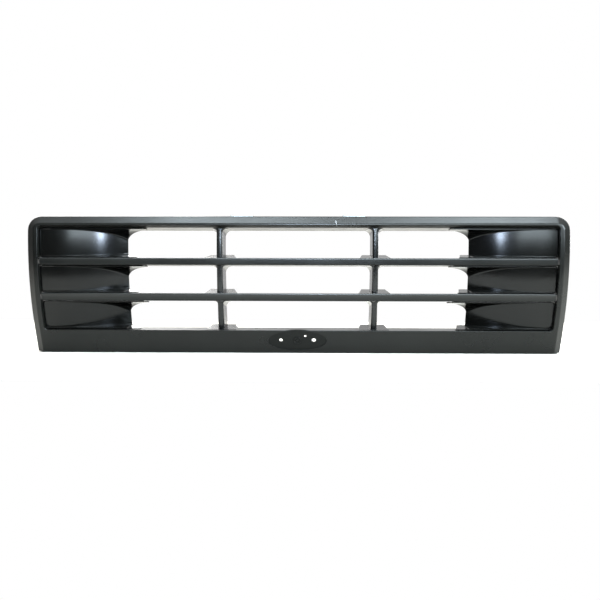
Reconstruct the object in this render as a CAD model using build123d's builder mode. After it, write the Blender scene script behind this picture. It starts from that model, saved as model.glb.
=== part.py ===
"""Automotive front grille.

A bevelled surround carries a tucked-under lower panel, two full-width slats,
two posts that halve into the slats, and six convex end scoops, each screwed
to a lug on the surround.  Two push-in retainers hold the upper tabs and four
spring clips ride on tongues behind the lower panel.

Frame: +X to the right seen from the front, +Y rearward (the moulding draw
direction), +Z up, origin at the centre of the foot.  Millimetres.
Depths named d are measured behind the curved front face."""

from build123d import *
import os
import math

os.makedirs("parts", exist_ok=True)

# ---------------------------------------------------------------- dimensions
WIDTH = 1050.0          # overall width of the surround
HEIGHT = 267.6          # foot to top edge of the surround
CORNER_R = 27.0         # upper outer corner radius
FACE_R = 461.0          # side-view radius of the front face
Z_VERT = 230.0          # height where the face stands vertical
Z_LEDGE = 45.6          # top edge of the lower panel
DEPTH = 58.0            # front-to-rear depth of the bars
SKIN = 2.8              # moulded wall
BEVEL_W = 15.0          # bezel width seen from the front
BEVEL_D = 11.0          # how far the bezel falls back to its outer edge
BEVEL_ROUND = 5.0       # rounding of the bevel, front and outer edge
RIM_ROUND = 1.1         # rounding of the opening's rim
OPEN_X = 502.5          # half width of the main opening at the front plane
OPEN_R = 7.0            # opening corner radius
FIT = 0.15              # clearance of the interlocking joints

SLATS = [(172.8, 186.6), (103.3, 118.6)]   # bottom, top of each slat
SLAT_SET = 4.0          # nose set back from the face
SLAT_WALL = 2.4
NOSE_R = 2.4
LAP = 36.0              # depth at which slat and post halve each other
TONGUE = (24.0, 50.0)   # depth range of the slat's end tongues
TONGUE_X = 511.2

POST_X = 151.5
POST_W0, POST_W1 = 11.6, 15.0       # post width at its front and at its rear
POST_SET = 14.0
POST_ROUND = 5.0
FLARE0, FLARE1 = 6.5, 13.5          # fillet under each bar, front and rear
RAMP_BASE, RAMP_TOP, RAMP_H = 60.0, 47.0, 9.0
RAMP_D = 12.0

SCOOP_SET = 10.0        # scoop border set back from the face
SCOOP_X = 339.5         # inner rear edge of the scoops
SCOOP_WALL = 2.6
SCOOP_GAP = 0.35
BORDER = 2.4            # rim above and below the scooped surface
ROOF_DROP = 17.0        # fall of a scoop's roof, front to rear
FLOOR_RISE = 9.0
WEB_A, WEB_B = 47.0, 21.0           # elliptical web under each bar
LIP_X = 21.0            # floor lip past the scoop's rear edge

LUG_X, LUG_D, LUG_T = 490.7, 32.0, 3.0      # scoop fixing lugs
SCREW_R, SCREW_L, SCREW_HEAD_R = 1.75, 14.0, 3.9

EMBLEM_W, EMBLEM_H = 117.0, 43.2
EMBLEM_Z = 25.3
EMBLEM_HOLE_X = 32.7
EMBLEM_SINK = 1.4
EMBLEM_FLOOR = 2.6

FIX_X, FIX_Y = 112.0, 108.0          # upper fixing points, behind the front plane
TAB_W, TAB_TOP, TAB_T = 45.0, 274.5, 2.8
TAB_Y = (54.5, 119.0)
FOOT_Y = 97.0           # rear edge of the bottom flange
FIX_HOLE_R = 4.0
RET_R = 3.9             # retainer shank
PIN_R = 2.0
PIN_TRAVEL = 7.0
LEG_END, COLLAR_END = 14.0, 9.0      # below the tab's top face

CLIP_X = (-390.0, -205.0, 205.0, 390.0)
CLIP_Z, CLIP_Y = 27.0, 98.0
CLIP_W = 16.0

Y0 = -59.5              # front plane in the row frame
SLOPE = (Z_VERT - Z_LEDGE) / math.sqrt(FACE_R**2 - (Z_VERT - Z_LEDGE) ** 2)
LEAN = math.atan(SLOPE)


def face_y(z):
    """Depth of the front face behind the front plane at height z."""
    if z >= Z_LEDGE:
        return FACE_R - math.sqrt(FACE_R**2 - (Z_VERT - z) ** 2)
    return face_y(Z_LEDGE) + SLOPE * (Z_LEDGE - z)


def across(y):
    """Plane facing the rear at depth y: local x is -X, local y is +Z."""
    return Plane(origin=(0, y + Y0, 0), x_dir=(-1, 0, 0), z_dir=(0, 1, 0))


def side_prism(points, half=560.0):
    """A prism along X from a side-view polygon of (depth, height) points."""
    with BuildPart() as b:
        with BuildSketch(Plane.YZ):
            with BuildLine():
                Polyline(*[(y + Y0, z) for y, z in points], close=True)
            make_face()
        extrude(amount=half, both=True)
    return b.part


def band(d1, d2, half=560.0):
    """Everything between d1 and d2 behind the front face."""
    lo, hi, k = -30.0, 310.0, Z_LEDGE
    p = lambda z, d: (face_y(z) + d + Y0, z)
    with BuildPart() as b:
        with BuildSketch(Plane.YZ):
            with BuildLine():
                Polyline(p(k, d1), p(lo, d1), p(lo, d2), p(k, d2))
                ThreePointArc(p(k, d2), p(170, d2), p(hi, d2))
                Line(p(hi, d2), p(hi, d1))
                ThreePointArc(p(hi, d1), p(170, d1), p(k, d1))
            make_face()
        extrude(amount=half, both=True)
    return b.part


def outline(inset):
    """Front outline of the surround, inset all round."""
    h, lo, hi = WIDTH / 2 - inset, inset, HEIGHT - inset
    r = CORNER_R - inset
    k = r * (1 - math.sqrt(0.5))
    with BuildSketch(across(-20)) as s:
        with BuildLine():
            Polyline((-h, hi - r), (-h, lo + 2.6), (-h + 12, lo), (h - 12, lo),
                     (h, lo + 2.6), (h, hi - r))
            ThreePointArc((h, hi - r), (h - k, hi - k), (h - r, hi))
            Line((h - r, hi), (-h + r, hi))
            ThreePointArc((-h + r, hi), (-h + k, hi - k), (-h, hi - r))
        make_face()
    return s.sketch


def bevelled_block(inset, front, rear, soften):
    """The outline between two depths, bevelled along its sides and top."""
    with BuildPart() as b:
        extrude(outline(inset), amount=190)
        add(band(front, rear), mode=Mode.INTERSECT)
        rim = b.edges().filter_by(
            lambda e: abs(e.center().Y - Y0 - front - face_y(e.center().Z)) < 1.2
            and e.center().Z > inset + 8
            and (abs(e.center().X) > 100 or e.center().Z > HEIGHT - inset - 1)
            and not (abs(e.center().X) < 1 and e.center().Z < 200))
        chamfer(rim, length=BEVEL_D, length2=BEVEL_W)
        if soften:
            d = lambda e: e.center().Y - Y0 - front - face_y(e.center().Z)
            shell = lambda e: e.center().Z > 10 and (abs(e.center().X) > 490 or e.center().Z > 245)
            fillet(b.edges().filter_by(lambda e: abs(d(e) - BEVEL_D) < 1.6 and shell(e)
                                       and (abs(e.center().X) > 515 or e.center().Z > 255)), BEVEL_ROUND)
            fillet(b.edges().filter_by(lambda e: abs(d(e)) < 1.3 and shell(e) and e.length > 20), BEVEL_ROUND)
    return b.part


def opening(grow=0.0):
    """The main opening: a lead-in at the top edge, then a slight draft."""
    with BuildPart() as b:
        for y, top in ((-10.0, 253.4), (11.0, 245.1), (150.0, 240.5)):
            bot = 43.2 + 0.062 * y
            w = OPEN_X - 0.02 * y
            with BuildSketch(across(y)):
                with Locations((0, (top + bot) / 2)):
                    RectangleRounded(2 * (w + grow), top - bot + 2 * grow, OPEN_R + grow)
        loft(ruled=True)
    return b.part


def slat_points(bot, top, grow=0.0, inset=0.0, rear=DEPTH):
    """Side-view corners of a slat's outer (or, with inset, inner) section."""
    f = SLAT_SET + inset - grow
    z0, z1 = bot + inset - grow, top - inset + grow
    yr = face_y((bot + top) / 2) + rear
    return [(face_y(z0) + f, z0), (face_y(z1) + f, z1), (yr, z1), (yr, z0)]


# ---------------------------------------------------------------- shared solids
skin_out = bevelled_block(0.0, 0.0, DEPTH, True)
skin_in = bevelled_block(SKIN, SKIN, DEPTH + 6, False)
gate = opening()
gate_wall = opening(SKIN)
gate_fit = opening(-FIT)
gate_scoop = opening(-SCOOP_GAP)
behind_lap = band(LAP, DEPTH + 20)
before_lap = band(-20, LAP + FIT)
post_band = band(POST_SET, DEPTH)
scoop_band = band(SCOOP_SET, DEPTH)

# cells between the bars, top to bottom: (floor, roof)
CELLS = [(SLATS[0][1], 245.0), (SLATS[1][1], SLATS[0][0]), (46.2, SLATS[1][0])]
ROWS = ("upper", "middle", "lower")


def lug_z(row):
    lo, hi = CELLS[row]
    return (lo + hi) / 2


# ---------------------------------------------------------------- surround
emblem_plane = Plane(origin=(0, face_y(EMBLEM_Z) + Y0, EMBLEM_Z), x_dir=(1, 0, 0),
                     z_dir=(0, -math.cos(LEAN), -math.sin(LEAN)))

with BuildPart() as surround_frame:
    add(skin_out)
    add(skin_in, mode=Mode.SUBTRACT)
    add(gate_wall & skin_out)
    add(gate, mode=Mode.SUBTRACT)
    fillet(surround_frame.edges().filter_by(
        lambda e: abs(e.center().Y - Y0 - face_y(e.center().Z)) < 1.0 and e.length > 8
        and ((abs(e.center().X) < 5 and (e.center().Z < 252.5 and e.center().Z > 44))
             or (abs(e.center().X) > OPEN_X - 5.3 and abs(e.center().X) < OPEN_X + 0.3 and e.length > 8 and e.center().Z > 30))
        ), RIM_ROUND)
    add(side_prism([(FOOT_Y, -5), (FOOT_Y + 40, -5), (FOOT_Y + 40, 90), (FOOT_Y, 90)]), mode=Mode.SUBTRACT)
    # lugs that take the scoop screws from behind
    for row in range(3):
        zc = lug_z(row)
        yl = face_y(zc) + LUG_D
        with BuildSketch(across(yl)):
            for s in (-1, 1):
                with Locations((s * (LUG_X + 6.5), zc)):
                    Rectangle(25, 17)
                with Locations((s * LUG_X, zc)):
                    Circle(2.15, mode=Mode.SUBTRACT)
        extrude(amount=LUG_T)
    # windows for the slat tongues
    for bot, top in SLATS:
        pts = slat_points(bot, top, grow=FIT)
        d0, d1 = TONGUE
        ym = face_y((bot + top) / 2)
        with BuildSketch(Plane.YZ.offset(-(TONGUE_X + 2))):
            with BuildLine():
                Polyline((ym + d0 - FIT + Y0, bot - FIT), (ym + d0 - FIT + Y0, top + FIT),
                         (ym + d1 + FIT + Y0, top + FIT), (ym + d1 + FIT + Y0, bot - FIT), close=True)
            make_face()
        extrude(amount=16, mode=Mode.SUBTRACT)
        with BuildSketch(Plane.YZ.offset(TONGUE_X + 2)):
            with BuildLine():
                Polyline((ym + d0 - FIT + Y0, bot - FIT), (ym + d0 - FIT + Y0, top + FIT),
                         (ym + d1 + FIT + Y0, top + FIT), (ym + d1 + FIT + Y0, bot - FIT), close=True)
            make_face()
        extrude(amount=-16, mode=Mode.SUBTRACT)
    # slots for the post tongues in the roof and in the ledge
    for z, y in ((238.0, 40.0), (39.0, 78.0)):
        with BuildSketch(Plane.XY.offset(z)):
            for s in (-1, 1):
                with Locations((s * POST_X, y + Y0)):
                    Rectangle(6 + 2 * FIT, 20 + 2 * FIT)
        extrude(amount=18, mode=Mode.SUBTRACT)
    # emblem seat: backing pad, sunk floor, boss and fixing holes
    with BuildSketch(emblem_plane.offset(-EMBLEM_SINK - EMBLEM_FLOOR)):
        Ellipse(EMBLEM_W / 2 + 2, EMBLEM_H / 2 + 1.2)
    extrude(amount=EMBLEM_FLOOR)
    with BuildSketch(emblem_plane.offset(-EMBLEM_SINK)):
        Ellipse(EMBLEM_W / 2, EMBLEM_H / 2)
    extrude(amount=6, mode=Mode.SUBTRACT, taper=-12)
    with BuildSketch(emblem_plane.offset(-EMBLEM_SINK)):
        Circle(7.6)
        Circle(5.4, mode=Mode.SUBTRACT)
        Circle(2.0)
    extrude(amount=0.9)
    with BuildSketch(emblem_plane.offset(3)):
        with Locations((-EMBLEM_HOLE_X, 0)):
            Circle(3.4)
        with Locations((EMBLEM_HOLE_X, 0)):
            Circle(4.0)
        with Locations((15.5, 8.6)):
            Circle(2.4)
    extrude(amount=-14, mode=Mode.SUBTRACT)
    # upper fixing tabs
    with BuildSketch(Plane.XY.offset(TAB_TOP - TAB_T)):
        for s in (-1, 1):
            with Locations((s * FIX_X, sum(TAB_Y) / 2 + Y0)):
                RectangleRounded(TAB_W, TAB_Y[1] - TAB_Y[0], 3)
    extrude(amount=TAB_T)
    with BuildSketch(Plane.XY.offset(HEIGHT - SKIN)):
        for s in (-1, 1):
            with Locations((s * FIX_X, TAB_Y[0] + 2.4 + Y0)):
                Rectangle(TAB_W - 6, TAB_T)
            for t in (-1, 1):
                with Locations((s * FIX_X + t * (TAB_W / 2 - 5), TAB_Y[0] + 1 + 2.3 + Y0)):
                    Rectangle(2.4, 4.0)
    extrude(amount=TAB_TOP - TAB_T / 2 - HEIGHT + SKIN)
    with BuildSketch(Plane.XY.offset(TAB_TOP + 1)):
        for s in (-1, 1):
            with Locations((s * FIX_X, FIX_Y + Y0)):
                Circle(FIX_HOLE_R)
    extrude(amount=-8, mode=Mode.SUBTRACT)
    # tongues behind the lower panel, each with a rib below
    for x in CLIP_X:
        with BuildSketch(Plane.YZ.offset(x - 7)):
            with BuildLine():
                Polyline((face_y(CLIP_Z) + 1.2 + Y0, CLIP_Z - 1.2), (face_y(CLIP_Z) + 1.2 + Y0, CLIP_Z + 1.2),
                         (CLIP_Y - 1 + Y0, CLIP_Z + 1.2), (CLIP_Y - 1 + Y0, CLIP_Z - 1.2), close=True)
            make_face()
        extrude(amount=14)
        with BuildSketch(Plane.YZ.offset(x - 1.2)):
            with BuildLine():
                Polyline((face_y(CLIP_Z) + 1.5 + Y0, CLIP_Z), (CLIP_Y - 20 + Y0, CLIP_Z),
                         (face_y(CLIP_Z - 20) + 6 + Y0, CLIP_Z - 22), (face_y(CLIP_Z - 22) + 1.5 + Y0, CLIP_Z - 22),
                         close=True)
            make_face()
        extrude(amount=2.4)

surround_frame.part.label = "surround_frame"
export_step(surround_frame.part, "parts/surround_frame.step")


# ---------------------------------------------------------------- posts
def cell_profile(plane, w, r, lo, hi, cap):
    """Front view of a post in one cell: straight, flared under the upper bar."""
    k = r * (1 - math.sqrt(0.5))
    with BuildSketch(plane) as s:
        with BuildLine():
            Polyline((-w / 2 - r, hi), (-w / 2 - r, hi + cap), (w / 2 + r, hi + cap), (w / 2 + r, hi))
            ThreePointArc((w / 2 + r, hi), (w / 2 + k, hi - k), (w / 2, hi - r))
            Polyline((w / 2, hi - r), (w / 2, lo), (-w / 2, lo), (-w / 2, hi - r))
            ThreePointArc((-w / 2, hi - r), (-w / 2 - k, hi - k), (-w / 2 - r, hi))
        make_face()
    return s.sketch


def at_depth(v0, v1, d):
    return v0 + (v1 - v0) * (d - POST_SET) / (DEPTH - POST_SET)


post_mid = []           # face depth at the middle of each cell, top to bottom


def post_blank():
    """One post about x = 0, before its joints are cut."""
    tops = (SLATS[0][1], SLATS[1][1], 45.0)
    roofs = (244.0, SLATS[0][0] - FIT, SLATS[1][0] - FIT)
    cells = []
    for lo, hi in zip(tops, roofs):
        ym = face_y((lo + hi) / 2)
        post_mid.append(ym)
        with BuildPart() as c:
            loft([cell_profile(across(ym + d), at_depth(POST_W0, POST_W1, d),
                               at_depth(FLARE0, FLARE1, d), lo - 18, hi, 9.0 if hi > 200 else 0.02)
                  for d in (POST_SET - 13, DEPTH + 13)], ruled=True)
            add(post_band, mode=Mode.INTERSECT)
            fillet(c.edges().filter_by(
                lambda e: abs(e.center().Y - Y0 - face_y(e.center().Z) - POST_SET) < 0.9
                and abs(e.center().X) > POST_W0 / 2 - 1 and e.bounding_box().size.Z > 2.5
                and e.center().Z < hi), POST_ROUND)
        cells.append(c.part)
    return cells


post_cells = post_blank()
ramp_floor = (SLATS[0][1] + 0.1, SLATS[1][1] + 0.1, 44.8)


def ramp(z, x_in, drop, y_ref):
    """A foot ramp that rises rearward, as the overlap of its two views."""
    with BuildPart() as b:
        with BuildSketch(across(y_ref + DEPTH)):
            with BuildLine():
                Polyline((-RAMP_BASE / 2 + x_in, z - 8), (-RAMP_BASE / 2 + x_in, z), (-RAMP_TOP / 2 + x_in, z + RAMP_H - drop + 0.01),
                         (RAMP_TOP / 2 - x_in, z + RAMP_H - drop + 0.01), (RAMP_BASE / 2 - x_in, z),
                         (RAMP_BASE / 2 - x_in, z - 8), close=True)
            make_face()
        extrude(amount=-(DEPTH - RAMP_D + 2))
        add(side_prism([(y_ref + RAMP_D, z - drop), (y_ref + DEPTH + 5, z - drop + RAMP_H * 1.1), (y_ref + DEPTH + 5, z - 9),
                        (y_ref + RAMP_D, z - 9)], 60), mode=Mode.INTERSECT)
    return b.part


ramps = []
ramp_voids = []
for z in ramp_floor:
    yr = face_y(z + 1)
    rise = z if z > 50 else z + 2.0
    ramps.append(ramp(rise, 0.0, 0.0, yr))
    ramp_voids.append(ramp(rise, 2.6, 2.2, yr))

slat_joint = [side_prism(slat_points(b, t, grow=FIT, rear=DEPTH + 8), 60) for b, t in SLATS]

with BuildPart() as post_core:
    for c in post_cells:
        add(c)
    add(post_band, mode=Mode.INTERSECT)
    for r in ramps:
        add(r)
    for v in ramp_voids:
        add(v, mode=Mode.SUBTRACT)
    for c in post_cells:
        add(c & post_band)
    # the bars' thickness: only behind the halving plane
    for j in slat_joint:
        add(j & before_lap, mode=Mode.SUBTRACT)
    # nothing of the ramps may stand inside a bar
    for j, in zip(slat_joint):
        with BuildSketch(Plane.XY.offset(j.bounding_box().min.Z)):
            with Locations((-40, 40 + Y0 + 20), (40, 40 + Y0 + 20)):
                Rectangle(80 - POST_W1 - 2.0, 200)
        extrude(amount=j.bounding_box().size.Z, mode=Mode.SUBTRACT)

# core that hollows the post from behind
post_hollow = []
with BuildPart() as hollow:
    for w, d in ((POST_W0 - 5.2, POST_SET + 2.8), (POST_W1 - 5.2, DEPTH + 30)):
        pass
    with BuildSketch(Plane.XY.offset(54)):
        with BuildLine():
            Polyline((-(POST_W0 - 5.4) / 2, Y0), ((POST_W0 - 5.4) / 2, Y0),
                     ((POST_W1 - 4.4) / 2, Y0 + 100), (-(POST_W1 - 4.4) / 2, Y0 + 100), close=True)
        make_face()
    extrude(amount=188)
    add(band(POST_SET + 2.8, DEPTH + 8), mode=Mode.INTERSECT)


def finish_post(x):
    with BuildPart() as p:
        add(post_core.part)
        add(hollow.part, mode=Mode.SUBTRACT)
    moved = p.part.moved(Location((x, 0, 0)))
    return moved & gate_fit


for name, x in (("left_post", -POST_X), ("right_post", POST_X)):
    body = finish_post(x)
    with BuildPart() as post:
        add(body)
        with BuildSketch(Plane.XY.offset(236)):
            with Locations((x, 40 + Y0)):
                Rectangle(6, 20)
        extrude(amount=18)
        with BuildSketch(Plane.XY.offset(40)):
            with Locations((x, 78 + Y0)):
                Rectangle(6, 20)
        extrude(amount=16)
    post.part.label = name
    export_step(post.part, "parts/" + name + ".step")

# ---------------------------------------------------------------- slats
for name, (bot, top) in zip(("upper_slat", "lower_slat"), SLATS):
    ym = face_y((bot + top) / 2)
    outer, inner = slat_points(bot, top), slat_points(bot, top, inset=SLAT_WALL, rear=DEPTH + 5)
    posts_env = []
    yc = post_mid[0 if top > 150 else 1]
    for s in (-1, 1):
        with BuildPart() as env:
            with BuildSketch(Plane.XY.offset(bot - 3)):
                w0, w1 = at_depth(POST_W0, POST_W1, -yc), at_depth(POST_W0, POST_W1, 100 - yc)
                with BuildLine():
                    Polyline((s * POST_X - w0 / 2 - 0.3, Y0), (s * POST_X + w0 / 2 + 0.3, Y0),
                             (s * POST_X + w1 / 2 + 0.3, Y0 + 100), (s * POST_X - w1 / 2 - 0.3, Y0 + 100), close=True)
                make_face()
            extrude(amount=top - bot + 6)
        posts_env.append(env.part & behind_lap)
    with BuildPart() as slat:
        with BuildSketch(Plane.YZ) as sec:
            with BuildLine():
                Polyline(*[(y + Y0, z) for y, z in outer], close=True)
            make_face()
            fillet(sec.vertices().sort_by(Axis.X)[:2], NOSE_R)
        extrude(amount=TONGUE_X, both=True)
        with BuildSketch(Plane.YZ) as cav:
            with BuildLine():
                Polyline(*[(y + Y0, z) for y, z in inner], close=True)
            make_face()
        extrude(amount=TONGUE_X + 5, both=True, mode=Mode.SUBTRACT)
        # end tongues: only a stretch of the section passes the side walls
        for s in (-1, 1):
            for a, b in ((-30.0, TONGUE[0]), (TONGUE[1], DEPTH + 10)):
                with BuildSketch(Plane.XY.offset(bot - 3)):
                    with Locations((s * (OPEN_X + 10 - 2.4), ym + (a + b) / 2 + Y0)):
                        Rectangle(20, b - a)
                extrude(amount=top - bot + 6, mode=Mode.SUBTRACT)
        for env in posts_env:
            add(env, mode=Mode.SUBTRACT)
    slat.part.label = name
    export_step(slat.part, "parts/" + name + ".step")


# ---------------------------------------------------------------- end scoops
R_ARC = ((OPEN_X - SCOOP_X) ** 2 + (DEPTH - SCOOP_SET) ** 2) / (2 * (DEPTH - SCOOP_SET))
PHI = math.asin((OPEN_X - SCOOP_X) / R_ARC)


def plan_air(z, y_face, cut):
    """Plan of the space in front of a shoulder, at height z, as a face."""
    r, cy = R_ARC - cut, y_face + SCOOP_SET + R_ARC
    p = lambda a: (OPEN_X - r * math.sin(a), cy - r * math.cos(a) + Y0)
    x1, y1 = p(PHI)
    run = 40.0
    with BuildSketch(Plane.XY.offset(z)) as s:
        with BuildLine():
            Line((OPEN_X + 4, y_face - 60 + Y0), (OPEN_X + 4, p(0)[1]))
            Line((OPEN_X + 4, p(0)[1]), p(0))
            ThreePointArc(p(0), p(PHI / 2), p(PHI))
            Polyline((x1, y1), (x1 - run, y1 + run * math.tan(PHI)), (240, y1 + run * math.tan(PHI)),
                     (240, y_face - 60 + Y0), (OPEN_X + 4, y_face - 60 + Y0))
        make_face()
    return s.sketch


def scoop_solid(row):
    lo, hi = CELLS[row]
    c = SCOOP_GAP
    zt, zb = hi + 8, lo - 8
    f_hi, f_lo = face_y(hi), face_y(lo)
    lean = Vector(0, (f_lo - f_hi) / (hi - lo) * (zt - zb), -(zt - zb))
    y_top = f_hi - (f_lo - f_hi) / (hi - lo) * 8

    def air(cut):
        with BuildPart() as a:
            extrude(plan_air(zt, y_top, cut), amount=lean.length, dir=lean.normalized())
        ra, rb = hi - c - BORDER + cut, hi - ROOF_DROP + cut
        fa, fb = lo + c + BORDER - cut, lo + FLOOR_RISE - cut
        span = DEPTH - SCOOP_SET
        gr, gf = (rb - ra) / span, (fb - fa) / span
        with BuildPart() as prof:
            add(side_prism([(f_hi - 60, ra - gr * 70), (f_hi + 90, ra + gr * 80), (f_lo + 90, fa + gf * 80),
                            (f_lo - 60, fa - gf * 70)], 560))
        return a.part & prof.part

    shell = air(SCOOP_WALL) - air(0.0)
    with BuildPart() as room:
        with BuildSketch(across(-30)):
            with Locations((-(300 + OPEN_X + 5) / 2, (lo + hi) / 2)):
                Rectangle(OPEN_X + 5 - 300, hi - lo - 2 * c)
        extrude(amount=200)
    shell = shell & room.part & scoop_band & gate_scoop
    # inner end: web under the bar, vertical edge, floor lip
    n = 12
    arc = [(SCOOP_X - WEB_A + WEB_A * math.cos(t), hi - WEB_B + WEB_B * math.sin(t))
           for t in (math.pi / 2 * i / n for i in range(n + 1))]
    with BuildPart() as trim:
        with BuildSketch(across(-30)):
            with BuildLine():
                Polyline((-SCOOP_X, lo + FLOOR_RISE + 1.0), (-SCOOP_X, hi - WEB_B))
                Spline(*[(-x, z) for x, z in arc], tangents=[(0, 1), (1, 0)])
                Polyline((-(SCOOP_X - WEB_A), hi), (-(SCOOP_X - WEB_A), hi + 20), (-200, hi + 20), (-200, lo - 20),
                         (-(SCOOP_X - LIP_X), lo - 20), (-(SCOOP_X - LIP_X), lo + FLOOR_RISE + 1.0),
                         (-SCOOP_X, lo + FLOOR_RISE + 1.0))
            make_face()
        extrude(amount=200)
    return shell - trim.part


for row, rname in enumerate(ROWS):
    zc = lug_z(row)
    yl = face_y(zc) + LUG_D
    shell = scoop_solid(row)
    with BuildPart() as boss:
        with BuildSketch(across(yl)):
            with Locations((-LUG_X, zc)):
                Circle(4.0)
        extrude(amount=-40)
    behind = boss.part
    lo, hi = CELLS[row]
    y_top = face_y(hi)
    # the boss grows from the back of the shoulder
    with BuildPart() as keep:
        k = (face_y(lo) - face_y(hi)) / (hi - lo)
        add(side_prism([(y_top + SCOOP_SET + 1.4 - k * 5, hi + 5), (y_top + 90, hi + 5),
                        (face_y(lo) + 90, lo - 5), (face_y(lo) + SCOOP_SET + 1.4 + k * 5, lo - 5)], 560))
    behind = behind & keep.part
    with BuildPart() as scoop:
        add(shell)
        add(behind)
        with BuildSketch(across(yl + 1)):
            with Locations((-LUG_X, zc)):
                Circle(SCREW_R + 0.03)
        extrude(amount=-(SCREW_L + 2.5), mode=Mode.SUBTRACT)
    right = scoop.part
    left = right.mirror(Plane.YZ)
    right.label = "right_" + rname + "_scoop"
    left.label = "left_" + rname + "_scoop"
    export_step(right, "parts/right_" + rname + "_scoop.step")
    export_step(left, "parts/left_" + rname + "_scoop.step")

# ---------------------------------------------------------------- scoop screws
with BuildPart() as scoop_screws:
    for row in range(3):
        zc = lug_z(row)
        ys = face_y(zc) + LUG_D + LUG_T
        for s in (-1, 1):
            with BuildSketch(across(ys)):
                with Locations((s * LUG_X, zc)):
                    Circle(SCREW_R)
            extrude(amount=-SCREW_L)
            with BuildSketch(across(ys)):
                with Locations((s * LUG_X, zc)):
                    Circle(SCREW_HEAD_R)
            extrude(amount=2.3, taper=14)
            with BuildSketch(across(ys + 2.3)):
                with Locations((s * LUG_X, zc)):
                    Rectangle(4.2, 0.9)
                    Rectangle(0.9, 4.2)
            extrude(amount=-1.2, mode=Mode.SUBTRACT)
scoop_screws.part.label = "scoop_screws"
export_step(scoop_screws.part, "parts/scoop_screws.step")

# ---------------------------------------------------------------- upper retainers
for name, s in (("left", -1), ("right", 1)):
    x, y = s * FIX_X, FIX_Y + Y0
    with BuildPart() as body:
        with BuildSketch(Plane.XY.offset(TAB_TOP)):
            with Locations((x, y)):
                Circle(7.5)
                Circle(PIN_R + 0.05, mode=Mode.SUBTRACT)
        extrude(amount=1.4)
        # neck through the tab and split legs, then the full-size collar below the tab
        with BuildSketch(Plane.XY.offset(TAB_TOP - LEG_END)):
            with Locations((x, y)):
                Circle(RET_R - 0.3)
                Circle(PIN_R + 0.05, mode=Mode.SUBTRACT)
        extrude(amount=LEG_END)
        with BuildSketch(Plane.XY.offset(TAB_TOP - LEG_END)):
            with Locations((x, y)):
                Rectangle(12, 1.1)
                Rectangle(1.1, 12)
        extrude(amount=LEG_END - COLLAR_END, mode=Mode.SUBTRACT)
        chamfer(body.edges().filter_by(GeomType.CIRCLE).group_by(Axis.Z)[0].sort_by(
            lambda e: e.radius)[-4:], 0.8)
        with BuildSketch(Plane.XY.offset(TAB_TOP - COLLAR_END)):
            with Locations((x, y)):
                Circle(RET_R)
                Circle(RET_R - 0.6, mode=Mode.SUBTRACT)
        extrude(amount=COLLAR_END - TAB_T - 0.1)
    body.part.label = name + "_retainer_body"
    export_step(body.part, "parts/" + name + "_retainer_body.step")
    with BuildPart() as pin:
        with BuildSketch(Plane.XY.offset(TAB_TOP - 13.5)):
            with Locations((x, y)):
                Circle(PIN_R)
        extrude(amount=13.5 + 1.4)
        with BuildSketch(Plane.XY.offset(TAB_TOP + 1.4)):
            with Locations((x, y)):
                Circle(5.0)
        extrude(amount=1.5)
        fillet(pin.edges().group_by(Axis.Z)[-1], 0.8)
        chamfer(pin.edges().group_by(Axis.Z)[0], 0.6)
    pin.part.label = name + "_retainer_pin"
    export_step(pin.part, "parts/" + name + "_retainer_pin.step")

# ---------------------------------------------------------------- lower spring clips
CLIP_T = 0.7
with BuildPart() as panel_clips:
    zi, yo = 1.25 + CLIP_T / 2, CLIP_Y - 0.95 + CLIP_T / 2 + Y0
    for x in CLIP_X:
        with BuildSketch(Plane.YZ.offset(x - CLIP_W / 2)):
            with BuildLine() as fold:
                Polyline((yo - 20, CLIP_Z + zi + 2.2), (yo - 17, CLIP_Z + zi), (yo, CLIP_Z + zi),
                         (yo, CLIP_Z - zi), (yo - 17, CLIP_Z - zi), (yo - 20, CLIP_Z - zi - 2.2))
            trace(fold.line, line_width=CLIP_T)
            for up in (-1, 1):
                with BuildLine() as leaf:
                    Polyline((yo, CLIP_Z + up * zi), (yo - 9, CLIP_Z + up * (zi + 3.4)),
                             (yo - 13, CLIP_Z + up * (zi + 2.4)))
                trace(leaf.line, line_width=CLIP_T)
        extrude(amount=CLIP_W)
panel_clips.part.label = "panel_clips"
export_step(panel_clips.part, "parts/panel_clips.step")
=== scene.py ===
import bpy, bmesh, math
from mathutils import Vector, Matrix


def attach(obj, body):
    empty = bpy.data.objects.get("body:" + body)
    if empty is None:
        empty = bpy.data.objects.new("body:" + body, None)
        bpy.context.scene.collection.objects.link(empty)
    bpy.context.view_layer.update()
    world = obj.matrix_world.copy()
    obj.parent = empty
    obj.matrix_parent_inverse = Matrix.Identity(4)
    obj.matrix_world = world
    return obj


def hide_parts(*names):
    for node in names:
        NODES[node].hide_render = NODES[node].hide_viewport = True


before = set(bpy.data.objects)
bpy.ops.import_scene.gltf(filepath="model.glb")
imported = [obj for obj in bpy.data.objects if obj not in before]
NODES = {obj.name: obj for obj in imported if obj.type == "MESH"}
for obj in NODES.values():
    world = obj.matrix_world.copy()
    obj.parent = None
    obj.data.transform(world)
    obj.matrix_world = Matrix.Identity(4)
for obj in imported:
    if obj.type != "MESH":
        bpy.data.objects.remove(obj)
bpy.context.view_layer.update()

SCENE = bpy.context.scene

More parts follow.
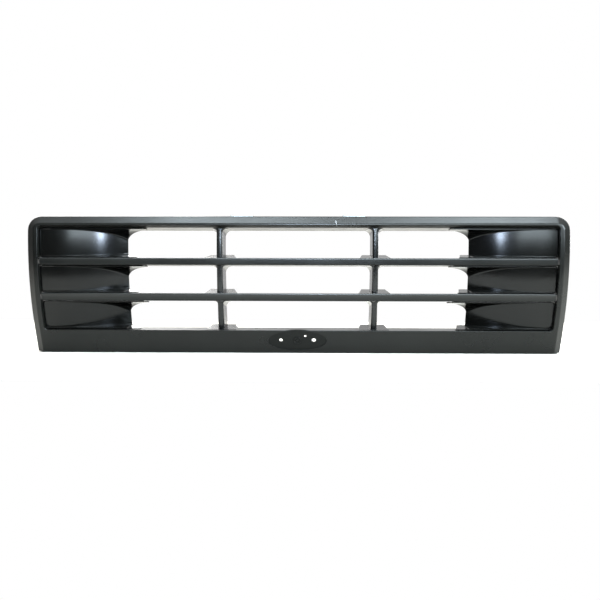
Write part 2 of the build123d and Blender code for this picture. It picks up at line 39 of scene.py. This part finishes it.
# ------------------------------------------------------------------ dimensions (mm, as in the CAD)
MM = 0.001
Y0 = -59.5
FACE_R, Z_VERT, Z_LEDGE = 461.0, 230.0, 45.6
OPEN_X, SCOOP_X = 502.5, 339.5
DEPTH, SET = 58.0, 10.0
GAP, BORDER = 0.35, 2.4
ROOF_DROP, FLOOR_RISE = 17.0, 9.0
WEB_A, WEB_B, WEB_H, LIP_X = 47.0, 21.0, 17.5, 15.0
CELLS = {"upper": (186.6, 245.0), "middle": (118.6, 172.8), "lower": (46.2, 103.3)}
LUG_X, LUG_D = 490.7, 32.0
SLOPE = (Z_VERT - Z_LEDGE) / math.sqrt(FACE_R**2 - (Z_VERT - Z_LEDGE) ** 2)


def face_y(z):
    """Depth of the front face behind the front plane at height z."""
    if z >= Z_LEDGE:
        return FACE_R - math.sqrt(FACE_R**2 - (Z_VERT - z) ** 2)
    return face_y(Z_LEDGE) + SLOPE * (Z_LEDGE - z)


# ------------------------------------------------------------------ node helpers
def new_material(name):
    m = bpy.data.materials.new(name)
    m.use_nodes = True
    nt = m.node_tree
    for n in list(nt.nodes):
        nt.nodes.remove(n)
    out = nt.nodes.new("ShaderNodeOutputMaterial")
    bsdf = nt.nodes.new("ShaderNodeBsdfPrincipled")
    nt.links.new(bsdf.outputs[0], out.inputs[0])
    return m, nt, bsdf


def node(nt, kind, **props):
    n = nt.nodes.new(kind)
    for k, v in props.items():
        setattr(n, k, v)
    return n


def noise(nt, vec, scale, detail=2.0, rough=0.5, lac=2.0):
    n = nt.nodes.new("ShaderNodeTexNoise")
    n.inputs["Scale"].default_value = scale
    n.inputs["Detail"].default_value = detail
    n.inputs["Roughness"].default_value = rough
    nt.links.new(vec, n.inputs["Vector"])
    return n.outputs["Fac"]


def ramp(nt, fac, stops):
    r = nt.nodes.new("ShaderNodeValToRGB")
    e = r.color_ramp.elements
    while len(e) < len(stops):
        e.new(0.5)
    for el, (p, c) in zip(e, stops):
        el.position = p
        el.color = (c, c, c, 1) if isinstance(c, (int, float)) else (*c, 1)
    nt.links.new(fac, r.inputs["Fac"])
    return r.outputs["Color"]


def math_node(nt, op, a, b=None, clamp=False):
    n = nt.nodes.new("ShaderNodeMath")
    n.operation = op
    n.use_clamp = clamp
    for i, v in enumerate((a, b)):
        if v is None:
            continue
        if isinstance(v, (int, float)):
            n.inputs[i].default_value = v
        else:
            nt.links.new(v, n.inputs[i])
    return n.outputs[0]


def mix_rgb(nt, fac, a, b):
    n = nt.nodes.new("ShaderNodeMix")
    n.data_type = "RGBA"
    for sock, v in ((n.inputs[0], fac), (n.inputs[6], a), (n.inputs[7], b)):
        if isinstance(v, (int, float)):
            sock.default_value = v
        elif isinstance(v, tuple):
            sock.default_value = (*v, 1)
        else:
            nt.links.new(v, sock)
    return n.outputs[2]


def plastic(name, base, rough, spec=0.5, grain=0.06, grain_scale=2600.0, dust=0.12, streak=(1, 1, 1),
            coat=0.0, tint=(0.10, 0.105, 0.10), scratch=None, seat=False, painted_sheen_band=None):
    """Moulded plastic: base tone with slow drift, spark-eroded grain, flow streaks, settled dust."""
    m, nt, b = new_material(name)
    tc = nt.nodes.new("ShaderNodeTexCoord")
    obj = tc.outputs["Object"]
    geo = nt.nodes.new("ShaderNodeNewGeometry")
    sep = nt.nodes.new("ShaderNodeSeparateXYZ")
    nt.links.new(geo.outputs["Normal"], sep.inputs[0])
    # slow drift of tone over the moulding
    drift = noise(nt, obj, 7.0, 3.0, 0.55)
    lo = tuple(c * 0.78 for c in base)
    hi = tuple(c * 1.28 for c in base)
    col = mix_rgb(nt, ramp(nt, drift, [(0.3, 0.0), (0.7, 1.0)]), lo, hi)
    # flow streaks along the longest way
    mp = nt.nodes.new("ShaderNodeMapping")
    mp.inputs["Scale"].default_value = streak
    nt.links.new(obj, mp.inputs["Vector"])
    flow = noise(nt, mp.outputs[0], 46.0, 4.0, 0.6)
    col = mix_rgb(nt, math_node(nt, "MULTIPLY", ramp(nt, flow, [(0.5, 0.0), (0.8, 1.0)]), 0.08), col,
                  tuple(c * 1.6 for c in base))
    # dust that settles on faces that look up
    up = ramp(nt, sep.outputs["Z"], [(0.35, 0.0), (0.95, 1.0)])
    specks = ramp(nt, noise(nt, obj, 900.0, 3.0, 0.7), [(0.48, 0.15), (0.68, 1.0)])
    cloud = ramp(nt, noise(nt, obj, 24.0, 4.0, 0.6), [(0.35, 0.2), (0.7, 1.0)])
    dmask = math_node(nt, "MULTIPLY", math_node(nt, "MULTIPLY", up, specks), cloud)
    dmask = math_node(nt, "MULTIPLY", dmask, dust, clamp=True)
    col = mix_rgb(nt, dmask, col, tint)
    # sparse lint specks on every face
    lint = ramp(nt, noise(nt, obj, 800.0, 1.0, 0.5), [(0.765, 0.0), (0.80, 1.0)])
    lint = math_node(nt, "MULTIPLY", lint, 0.02)
    col = mix_rgb(nt, lint, col, (0.16, 0.16, 0.155))
    rgh = ramp(nt, noise(nt, obj, 14.0, 2.0, 0.5), [(0.3, rough - 0.03), (0.7, rough + 0.04)])
    rgh = math_node(nt, "ADD", rgh, math_node(nt, "MULTIPLY", dmask, 0.12), clamp=True)
    if scratch:
        (x0, z0), (x1, z1), half = scratch
        sp = nt.nodes.new("ShaderNodeSeparateXYZ")
        nt.links.new(obj, sp.inputs[0])
        k = (x1 - x0) / (z1 - z0)
        wob = math_node(nt, "MULTIPLY", math_node(nt, "SUBTRACT", noise(nt, obj, 260.0, 2.0), 0.5), 0.0012)
        line = math_node(nt, "ADD", math_node(nt, "SUBTRACT", sp.outputs["X"],
                         math_node(nt, "ADD", math_node(nt, "MULTIPLY", math_node(nt, "SUBTRACT", sp.outputs["Z"], z0), k), x0)), wob)
        d = math_node(nt, "ABSOLUTE", line)
        near = math_node(nt, "LESS_THAN", d, half)
        inz = math_node(nt, "MULTIPLY", math_node(nt, "GREATER_THAN", sp.outputs["Z"], min(z0, z1)),
                        math_node(nt, "LESS_THAN", sp.outputs["Z"], max(z0, z1)))
        patch = ramp(nt, noise(nt, obj, 700.0, 2.0), [(0.36, 0.0), (0.5, 1.0)])
        s = math_node(nt, "MULTIPLY", math_node(nt, "MULTIPLY", near, inz), patch)
        col = mix_rgb(nt, s, col, (0.40, 0.40, 0.40))
    b.inputs["Specular IOR Level"].default_value = spec
    if seat:
        ps = nt.nodes.new("ShaderNodeSeparateXYZ")
        nt.links.new(obj, ps.inputs[0])
        # inside of the oval badge seat: rougher finish, plus painted shade from a 42% cut in specular
        ex = math_node(nt, "POWER", math_node(nt, "ABSOLUTE", math_node(nt, "DIVIDE", ps.outputs["X"], 0.0578)), 2.0)
        ez = math_node(nt, "POWER", math_node(nt, "ABSOLUTE", math_node(nt, "DIVIDE",
                       math_node(nt, "SUBTRACT", ps.outputs["Z"], 0.0253), 0.0193)), 2.0)
        oval = math_node(nt, "LESS_THAN", math_node(nt, "ADD", ex, ez), 1.0)
        front = math_node(nt, "GREATER_THAN", math_node(nt, "MULTIPLY", sep.outputs["Y"], -1.0), 0.5)
        oval = math_node(nt, "MULTIPLY", oval, front)
        nt.links.new(math_node(nt, "SUBTRACT", spec, math_node(nt, "MULTIPLY", oval, spec * 0.42)),
                     b.inputs["Specular IOR Level"])
        rgh = math_node(nt, "ADD", rgh, math_node(nt, "MULTIPLY", oval, 0.12), clamp=True)
        # painted highlight: the front edge of the two fixing tabs is painted pale in noisy patches
        tab = math_node(nt, "MULTIPLY", math_node(nt, "GREATER_THAN", ps.outputs["Z"], 0.2686),
                        math_node(nt, "LESS_THAN", ps.outputs["Y"], -0.0035))
        painted_light = ramp(nt, noise(nt, obj, 300.0, 3.0), [(0.25, 0.55), (0.6, 1.0)])
        col = mix_rgb(nt, math_node(nt, "MULTIPLY", tab, painted_light), col, (0.40, 0.42, 0.42))
    if painted_sheen_band:
        # painted sheen and shade: each bar's specular is raised along its upper half and lowered towards its lower
        # edge
        za, zb, half = painted_sheen_band
        ws = nt.nodes.new("ShaderNodeSeparateXYZ")
        nt.links.new(obj, ws.inputs[0])
        pick = math_node(nt, "GREATER_THAN", ws.outputs["Z"], (za + zb) / 2)
        mid = math_node(nt, "ADD", math_node(nt, "MULTIPLY", pick, za - zb), zb)
        t = math_node(nt, "DIVIDE", math_node(nt, "SUBTRACT", ws.outputs["Z"], mid), half)
        painted_light = ramp(nt, math_node(nt, "ADD", math_node(nt, "MULTIPLY", t, 0.5), 0.5),
                   [(0.0, 0.40), (0.45, 0.72), (0.8, 1.20), (1.0, 1.6)])
        nt.links.new(math_node(nt, "MULTIPLY", painted_light, spec), b.inputs["Specular IOR Level"])
    nt.links.new(col, b.inputs["Base Color"])
    nt.links.new(rgh, b.inputs["Roughness"])
    b.inputs["IOR"].default_value = 1.5
    b.inputs["Coat Weight"].default_value = coat
    b.inputs["Coat Roughness"].default_value = 0.12
    # grain: fine cells over a softer undulation
    fine = noise(nt, obj, grain_scale, 2.0, 0.55)
    vor = nt.nodes.new("ShaderNodeTexVoronoi")
    vor.inputs["Scale"].default_value = grain_scale * 0.55
    nt.links.new(obj, vor.inputs["Vector"])
    wave = noise(nt, mp.outputs[0], 9.0, 2.0)
    h = math_node(nt, "ADD", math_node(nt, "MULTIPLY", fine, 0.6), math_node(nt, "MULTIPLY", vor.outputs["Distance"], 0.4))
    bump = nt.nodes.new("ShaderNodeBump")
    bump.inputs["Strength"].default_value = grain
    bump.inputs["Distance"].default_value = 0.00025
    nt.links.new(h, bump.inputs["Height"])
    bump2 = nt.nodes.new("ShaderNodeBump")
    bump2.inputs["Strength"].default_value = 0.04
    bump2.inputs["Distance"].default_value = 0.0016
    nt.links.new(wave, bump2.inputs["Height"])
    nt.links.new(bump2.outputs[0], bump.inputs["Normal"])
    nt.links.new(bump.outputs[0], b.inputs["Normal"])
    return m


def metal(name, base, rough, dark, scale=160.0, brush=(1, 1, 1)):
    """Plated or phosphated steel: mottled tone, brushed grain, dull patches."""
    m, nt, b = new_material(name)
    tc = nt.nodes.new("ShaderNodeTexCoord")
    mp = nt.nodes.new("ShaderNodeMapping")
    mp.inputs["Scale"].default_value = brush
    nt.links.new(tc.outputs["Object"], mp.inputs["Vector"])
    f = noise(nt, mp.outputs[0], scale, 5.0, 0.6)
    g = noise(nt, tc.outputs["Object"], scale * 8, 2.0, 0.6)
    nt.links.new(mix_rgb(nt, ramp(nt, f, [(0.35, 0.0), (0.65, 1.0)]), dark, base), b.inputs["Base Color"])
    nt.links.new(ramp(nt, g, [(0.3, rough - 0.08), (0.7, rough + 0.12)]), b.inputs["Roughness"])
    b.inputs["Metallic"].default_value = 1.0
    bump = nt.nodes.new("ShaderNodeBump")
    bump.inputs["Strength"].default_value = 0.15
    bump.inputs["Distance"].default_value = 0.0002
    nt.links.new(g, bump.inputs["Height"])
    nt.links.new(bump.outputs[0], b.inputs["Normal"])
    return m


MAT = {
    # frame plastic: seat=True adds painted shade inside the badge seat and a painted highlight on the tab front edges
    "frame": plastic("frame_plastic", (0.0036, 0.0037, 0.0032), 0.29, 0.21, grain=0.05, streak=(0.35, 2.5, 2.5),
                     scratch=((0.0735, 0.2590), (0.0762, 0.2475), 0.00042), seat=True),
    # bar plastic: painted sheen on the upper half of each slat, painted shade towards its lower edge
    "bar": plastic("bar_plastic", (0.0055, 0.0056, 0.0050), 0.31, 0.32, grain=0.05, streak=(0.25, 2.5, 2.5),
                   painted_sheen_band=(0.1797, 0.11095, 0.0078)),
    "post": plastic("post_plastic", (0.0045, 0.0046, 0.0045), 0.22, 0.29, grain=0.05, streak=(2.5, 2.5, 0.5)),
    "scoop": plastic("scoop_plastic", (0.0022, 0.0022, 0.0020), 0.17, 0.22, grain=0.02, streak=(0.8, 1.5, 1.5)),
    "nylon": plastic("retainer_nylon", (0.014, 0.014, 0.014), 0.5, 0.45, grain=0.2, grain_scale=1800.0),
    "zinc": metal("zinc_plate", (0.62, 0.61, 0.56), 0.32, (0.42, 0.42, 0.40)),
    "spring": metal("phosphate_steel", (0.20, 0.20, 0.195), 0.45, (0.09, 0.09, 0.09), 90.0),
}
NODE_MAT = {"surround_frame": "frame", "upper_slat": "bar", "lower_slat": "bar", "left_post": "post",
            "right_post": "post", "scoop_screws": "zinc", "panel_clips": "spring",
            "left_retainer_body": "nylon", "right_retainer_body": "nylon",
            "left_retainer_pin": "nylon", "right_retainer_pin": "nylon"}
for name, obj in NODES.items():
    key = NODE_MAT.get(name, "scoop")
    obj.data.materials.clear()
    obj.data.materials.append(MAT[key])


# ------------------------------------------------------------------ end scoops
def smin(a, b, k):
    h = max(k - abs(a - b), 0.0) / k
    return min(a, b) - h * h * k * 0.25


def smax(a, b, k):
    return -smin(-a, -b, k)


def steps(a, b, pitch):
    n = max(1, int(math.ceil((b - a) / pitch)))
    return [a + (b - a) * i / n for i in range(n + 1)]


def scoop_mesh(row):
    lo, hi = CELLS[row]
    R = ((OPEN_X - SCOOP_X) ** 2 + (DEPTH - SET) ** 2) / (2 * (DEPTH - SET))
    zb, zt, xo = lo + 0.06, hi - 0.06, OPEN_X - GAP - 0.4
    ra, rb = hi - GAP - BORDER, hi - ROOF_DROP
    fa, fb = lo + GAP + BORDER, lo + FLOOR_RISE
    span = DEPTH - SET
    rc, redge = 6.5, 1.6
    lip_z = lo + FLOOR_RISE + 0.4
    phi = math.asin((OPEN_X - SCOOP_X) / R)

    def shoulder(x):
        u = OPEN_X - BORDER - x
        if u <= 0:
            return SET
        if u >= OPEN_X - SCOOP_X:
            return DEPTH + (u - (OPEN_X - SCOOP_X)) * math.tan(phi)
        return SET + R - math.sqrt(R * R - u * u)

    def inner_x(z):
        if z < lip_z:
            return SCOOP_X - LIP_X
        t = (z - (hi - WEB_B)) / WEB_H
        if t <= 0:
            return SCOOP_X
        if t > 1:
            return SCOOP_X - WEB_A + (t - 1) * WEB_H * 3.2
        return SCOOP_X - WEB_A + WEB_A * math.sqrt(1 - t * t)

    def core(x, z):
        if x < SCOOP_X - 0.05 and z < lip_z + 0.01:
            return min(DEPTH - 0.3, SET + span * max(0.0, z - lo) / 9.8)
        s = shoulder(x)
        r = SET + span * (max(0.0, ra - z) / (ra - rb)) ** 0.42
        f = SET + (z - fa) * span / (fb - fa)
        d = smin(smin(s, r, 9.0), f, 11.0)
        return min(DEPTH, smax(d, SET, 2.0))

    def edge_drop(d):
        if d >= redge:
            return 0.0
        q = redge - max(d, 0.0)
        return redge - math.sqrt(max(0.0, redge * redge - q * q))

    def rounded(x, z):
        """Pull the square outer corners of the grid onto an arc."""
        cx = xo - rc
        for cz, sgn in ((zt - rc, 1), (zb + rc, -1)):
            a, b = x - cx, (z - cz) * sgn
            if a > 0 and b > 0:
                m, l = max(a, b), math.hypot(a, b)
                return cx + a * m / l, cz + sgn * b * m / l, rc - m
        return x, z, min(xo - x, zt - z, z - zb)

    fine = [0.0, 0.1, 0.3, 0.6, 1.0, 1.5, 2.1]
    zs = [zb + d for d in fine] + steps(zb + 2.5, lip_z - 0.02, 0.38) + [lip_z + 0.02] + \
        steps(lip_z + 0.3, hi - ROOF_DROP - 6, 1.6) + steps(hi - ROOF_DROP - 5.4, zt - 2.6, 0.55) + \
        [zt - d for d in reversed(fine)]
    us = steps(0.0, 1.0, 1 / 74)
    bm = bmesh.new()
    grid = []
    for z in zs:
        line = []
        xi = inner_x(z)
        lip = [SCOOP_X - LIP_X, SCOOP_X - LIP_X * 0.66, SCOOP_X - LIP_X * 0.33, SCOOP_X - 0.1]
        if z > lip_z:
            lip = [xi, xi, xi, xi]
            start = xi
        else:
            start = SCOOP_X
        xs = lip + [start + (xo - 3.0 - start) * u for u in us] + [xo - v for v in reversed(fine)]
        for j, x in enumerate(xs):
            px, pz, d = rounded(x, z)
            depth = core(px, pz)
            if x < SCOOP_X - 0.05 and z < lip_z:
                # the lip's end runs slightly inwards from back to front
                t = (SCOOP_X - x) / LIP_X
                px = SCOOP_X - t * (26.0 - 9.0 * (depth - SET) / span)
            y = depth + edge_drop(d) + face_y(pz)
            line.append((px * MM, (y + Y0) * MM, pz * MM))
        grid.append(line)
    vgrid = []
    for line in grid:
        row_v, last = [], None
        for c in line:
            if last is not None and (Vector(c) - last.co).length < 1e-7:
                row_v.append(last)
            else:
                last = bm.verts.new(c)
                row_v.append(last)
        vgrid.append(row_v)
    grid = vgrid
    for i in range(len(grid) - 1):
        for j in range(len(grid[0]) - 1):
            q = []
            for v in (grid[i][j], grid[i][j + 1], grid[i + 1][j + 1], grid[i + 1][j]):
                if v not in q:
                    q.append(v)
            if len(q) >= 3:
                bm.faces.new(q)
    # skirt round the three outer sides
    rim = [grid[0][j] for j in range(len(grid[0]))] + [grid[i][-1] for i in range(1, len(grid))] + \
          [grid[-1][j] for j in range(len(grid[0]) - 2, -1, -1)]
    chain = [rim[0]]
    for v in rim[1:]:
        if v is not chain[-1]:
            chain.append(v)
    back = []
    for v in chain:
        z = v.co.z / MM
        depth = min(9.0, max(0.3, (face_y(z) + DEPTH + Y0) - v.co.y / MM - 0.2))
        back.append(bm.verts.new((v.co.x, v.co.y + depth * MM, v.co.z)))
    for a, b, c, d in zip(chain, chain[1:], back[1:], back):
        bm.faces.new((b, a, d, c))
    bmesh.ops.recalc_face_normals(bm, faces=bm.faces)
    bm.faces.ensure_lookup_table()
    mid = max(bm.faces, key=lambda f: f.calc_area())
    if mid.normal.y > 0:
        for f in bm.faces:
            f.normal_flip()
    return bm


def tube(bm, x, zc, y0, y1, r_out, r_in, n=48):
    """A screw boss along Y; its foot follows the lean of the face."""
    rings = []
    for r, y, lean in ((r_out + 1.6, y0, 1), (r_out + 0.5, y0 + 1.5, 1), (r_out, y0 + 3.4, 0.6), (r_out, y1 - 0.5, 0),
                       (r_out - 0.4, y1, 0), (r_in + 0.4, y1, 0), (r_in, y1 - 0.5, 0), (r_in, y0 + 2.5, 0)):
        ring = []
        for i in range(n):
            z = zc + r * math.sin(2 * math.pi * i / n)
            dy = lean * (face_y(z) - face_y(zc))
            ring.append(bm.verts.new(((x + r * math.cos(2 * math.pi * i / n)) * MM, (y + dy + Y0) * MM, z * MM)))
        rings.append(ring)
    for a, b in zip(rings, rings[1:]):
        for i in range(n):
            bm.faces.new((a[i], a[(i + 1) % n], b[(i + 1) % n], b[i]))
    bm.faces.new(rings[-1])
    bm.faces.new(list(reversed(rings[0])))


for row in CELLS:
    lo, hi = CELLS[row]
    zc = (lo + hi) / 2
    yl = face_y(zc) + LUG_D
    for side, sx in (("right", 1), ("left", -1)):
        bm = scoop_mesh(row)
        if sx < 0:
            for v in bm.verts:
                v.co.x = -v.co.x
            for f in bm.faces:
                f.normal_flip()
        me = bpy.data.meshes.new(f"{side}_{row}_scoop_shell")
        bm.to_mesh(me)
        bm.free()
        ob = bpy.data.objects.new(f"{side}_{row}_scoop_shell", me)
        SCENE.collection.objects.link(ob)
        for p in me.polygons:
            p.use_smooth = True
        sol = ob.modifiers.new("wall", "SOLIDIFY")
        sol.thickness = 2.3 * MM
        sol.offset = -1.0
        sol.use_even_offset = False
        bev = ob.modifiers.new("edges", "BEVEL")
        bev.width = 0.35 * MM
        bev.segments = 2
        bev.limit_method = "ANGLE"
        bev.angle_limit = math.radians(60)
        me.materials.append(MAT["scoop"])
        bb = bmesh.new()
        tube(bb, sx * LUG_X, zc, face_y(zc) + SET + 1.6, yl - 0.05, 4.0, 1.78)
        bmesh.ops.recalc_face_normals(bb, faces=bb.faces)
        bme = bpy.data.meshes.new(f"{side}_{row}_scoop_boss")
        bb.to_mesh(bme)
        bb.free()
        for p in bme.polygons:
            p.use_smooth = len(p.vertices) == 4
        bo = bpy.data.objects.new(f"{side}_{row}_scoop_boss", bme)
        SCENE.collection.objects.link(bo)
        bme.materials.append(MAT["scoop"])
        for piece in (ob, bo):
            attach(piece, "grille")
            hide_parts(f"{side}_{row}_scoop")

# ------------------------------------------------------------------ emblem boss rings
EMBLEM_Z, EMBLEM_SINK = 25.3, 1.4
lean = math.atan(SLOPE)
nrm = Vector((0.0, -math.cos(lean), -math.sin(lean)))
foot = Vector((0.0, Y0 + face_y(EMBLEM_Z), EMBLEM_Z)) - nrm * (EMBLEM_SINK - 0.9)
rb = bmesh.new()
for major, minor in ((6.5, 0.75), (1.7, 0.55)):
    n, k = 72, 14
    side, up = Vector((1, 0, 0)), nrm.cross(Vector((1, 0, 0))).normalized()
    loops = []
    for i in range(n):
        a = 2 * math.pi * i / n
        out = side * math.cos(a) + up * math.sin(a)
        loops.append([rb.verts.new((foot + out * (major + minor * math.cos(b)) + nrm * (minor * 0.8 * math.sin(b))) * MM)
                      for b in (2 * math.pi * j / k for j in range(k))])
    for i in range(n):
        for j in range(k):
            rb.faces.new((loops[i][j], loops[(i + 1) % n][j], loops[(i + 1) % n][(j + 1) % k], loops[i][(j + 1) % k]))
bmesh.ops.recalc_face_normals(rb, faces=rb.faces)
rme = bpy.data.meshes.new("emblem_boss_rings")
rb.to_mesh(rme)
rb.free()
for p in rme.polygons:
    p.use_smooth = True
ring = bpy.data.objects.new("emblem_boss_rings", rme)
SCENE.collection.objects.link(ring)
rme.materials.append(MAT["frame"])
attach(ring, "grille")

# ------------------------------------------------------------------ camera
D_CAM, Z_CAM, X_CAM, YAW, ROLL = 1400.0, 105.6, 28.9, math.radians(0.95), math.radians(0.17)
cam_data = bpy.data.cameras.new("camera")
cam = bpy.data.objects.new("camera", cam_data)
SCENE.collection.objects.link(cam)
SCENE.camera = cam
cam_data.sensor_width = 36.0
cam_data.lens = 36.0 * 730.0 / 600.0
cam.location = (X_CAM * MM, (Y0 - D_CAM) * MM, Z_CAM * MM)
cam.rotation_euler = (Matrix.Rotation(YAW, 3, "Z") @ Matrix.Rotation(math.radians(90), 3, "X") @ Matrix.Rotation(ROLL, 3, "Z")).to_euler()

# ------------------------------------------------------------------ studio
floor_mesh = bpy.data.meshes.new("floor")
bm = bmesh.new()
for x, y in ((-2.6, -0.50), (2.6, -0.50), (2.6, 2.1), (-2.6, 2.1)):
    bm.verts.new((x, y, -0.0004))
bm.faces.new(bm.verts)
bm.to_mesh(floor_mesh)
bm.free()
floor = bpy.data.objects.new("floor", floor_mesh)
SCENE.collection.objects.link(floor)
fm, nt, b = new_material("floor_paper")
tc = nt.nodes.new("ShaderNodeTexCoord")
paper = mix_rgb(nt, noise(nt, tc.outputs["Object"], 3.0, 3.0), (0.60, 0.565, 0.51), (0.63, 0.595, 0.54))
nt.links.new(paper, b.inputs["Base Color"])
b.inputs["Roughness"].default_value = 0.9
b.inputs["Specular IOR Level"].default_value = 0.1
floor_mesh.materials.append(fm)

world = bpy.data.worlds.new("studio")
SCENE.world = world
world.use_nodes = True
wt = world.node_tree
for n in list(wt.nodes):
    wt.nodes.remove(n)
wo = wt.nodes.new("ShaderNodeOutputWorld")
tc = wt.nodes.new("ShaderNodeTexCoord")
sp = wt.nodes.new("ShaderNodeSeparateXYZ")
wt.links.new(tc.outputs["Generated"], sp.inputs[0])
# white backdrop behind, dim room in front, bright ceiling
back = ramp(wt, math_node(wt, "ADD", math_node(wt, "MULTIPLY", sp.outputs["Y"], 0.5), 0.5),
            [(0.0, 0.07), (0.50, 0.10), (0.72, 0.95), (1.0, 1.0)])
top = ramp(wt, sp.outputs["Z"], [(0.45, 0.0), (0.85, 1.0)])
lit = wt.nodes.new("ShaderNodeBackground")
wt.links.new(back, lit.inputs[0])
lit.inputs[1].default_value = 1.05
sky = wt.nodes.new("ShaderNodeBackground")
sky.inputs[0].default_value = (0.98, 0.99, 1.0, 1)
sky.inputs[1].default_value = 1.5
both = wt.nodes.new("ShaderNodeMixShader")
wt.links.new(top, both.inputs[0])
wt.links.new(lit.outputs[0], both.inputs[1])
wt.links.new(sky.outputs[0], both.inputs[2])
seen = wt.nodes.new("ShaderNodeBackground")
seen.inputs[0].default_value = (1, 1, 1, 1)
lp = wt.nodes.new("ShaderNodeLightPath")
mx = wt.nodes.new("ShaderNodeMixShader")
wt.links.new(lp.outputs["Is Camera Ray"], mx.inputs[0])
wt.links.new(both.outputs[0], mx.inputs[1])
wt.links.new(seen.outputs[0], mx.inputs[2])
wt.links.new(mx.outputs[0], wo.inputs[0])


def area(name, loc, target, size, radiance, color=(1, 1, 1)):
    d = bpy.data.lights.new(name, "AREA")
    d.shape = "RECTANGLE"
    d.size, d.size_y = size
    d.energy = radiance * math.pi * size[0] * size[1]
    d.color = color
    o = bpy.data.objects.new(name, d)
    SCENE.collection.objects.link(o)
    o.location = loc
    o.rotation_euler = (Vector(target) - Vector(loc)).to_track_quat("-Z", "Y").to_euler()
    o.visible_camera = False
    return o


COOL = (0.80, 0.93, 1.0)
BLUE = (0.66, 0.80, 1.0)
area("ceiling_left", (-0.34, -0.45, 2.0), (-0.3, -0.1, 0.2), (0.75, 0.5), 30, COOL)
area("ceiling_right", (0.66, -0.45, 2.0), (0.5, -0.1, 0.2), (0.9, 0.5), 28, COOL)
area("spot_mid", (0.05, -0.80, 1.40), (0.03, -0.05, 0.25), (0.30, 0.22), 34, COOL)


def strip(name, x, y, el0, el1, width, radiance, color):
    """Upright light in front, between two elevations as seen from the top row of scoops."""
    z0, z1 = (0.235 + (-y - 0.05) * math.tan(math.radians(e)) for e in (el0, el1))
    return area(name, (x, y, (z0 + z1) / 2), (x * 0.4, 0.0, (z0 + z1) / 2), (width, z1 - z0), radiance, color)


strip("streak_low", 0.02, -0.80, -7.0, -1.0, 0.075, 8, BLUE)
strip("streak_mid", 0.02, -0.80, -1.0, 3.0, 0.075, 34, BLUE)
strip("streak_top", 0.02, -0.80, 3.0, 15.0, 0.075, 165, BLUE)
strip("front_low", 0.50, -3.2, -1.0, 3.5, 1.7, 2.2, COOL)
strip("front_panel", 0.50, -3.2, 3.5, 28.0, 1.7, 17, COOL)
area("rear_key", (-1.4, 2.4, 1.9), (0.0, 0.0, 0.15), (1.8, 1.2), 15, (1.0, 0.99, 0.97))
area("rear_fill", (1.6, 2.0, 0.9), (0.0, 0.0, 0.12), (0.7, 1.1), 18, (0.97, 0.98, 1.0))
area("right_panel", (2.4, -1.7, 1.25), (0.45, 0.0, 0.25), (1.8, 1.4), 32, COOL)

SCENE.view_settings.view_transform = "Standard"
SCENE.view_settings.look = "None"
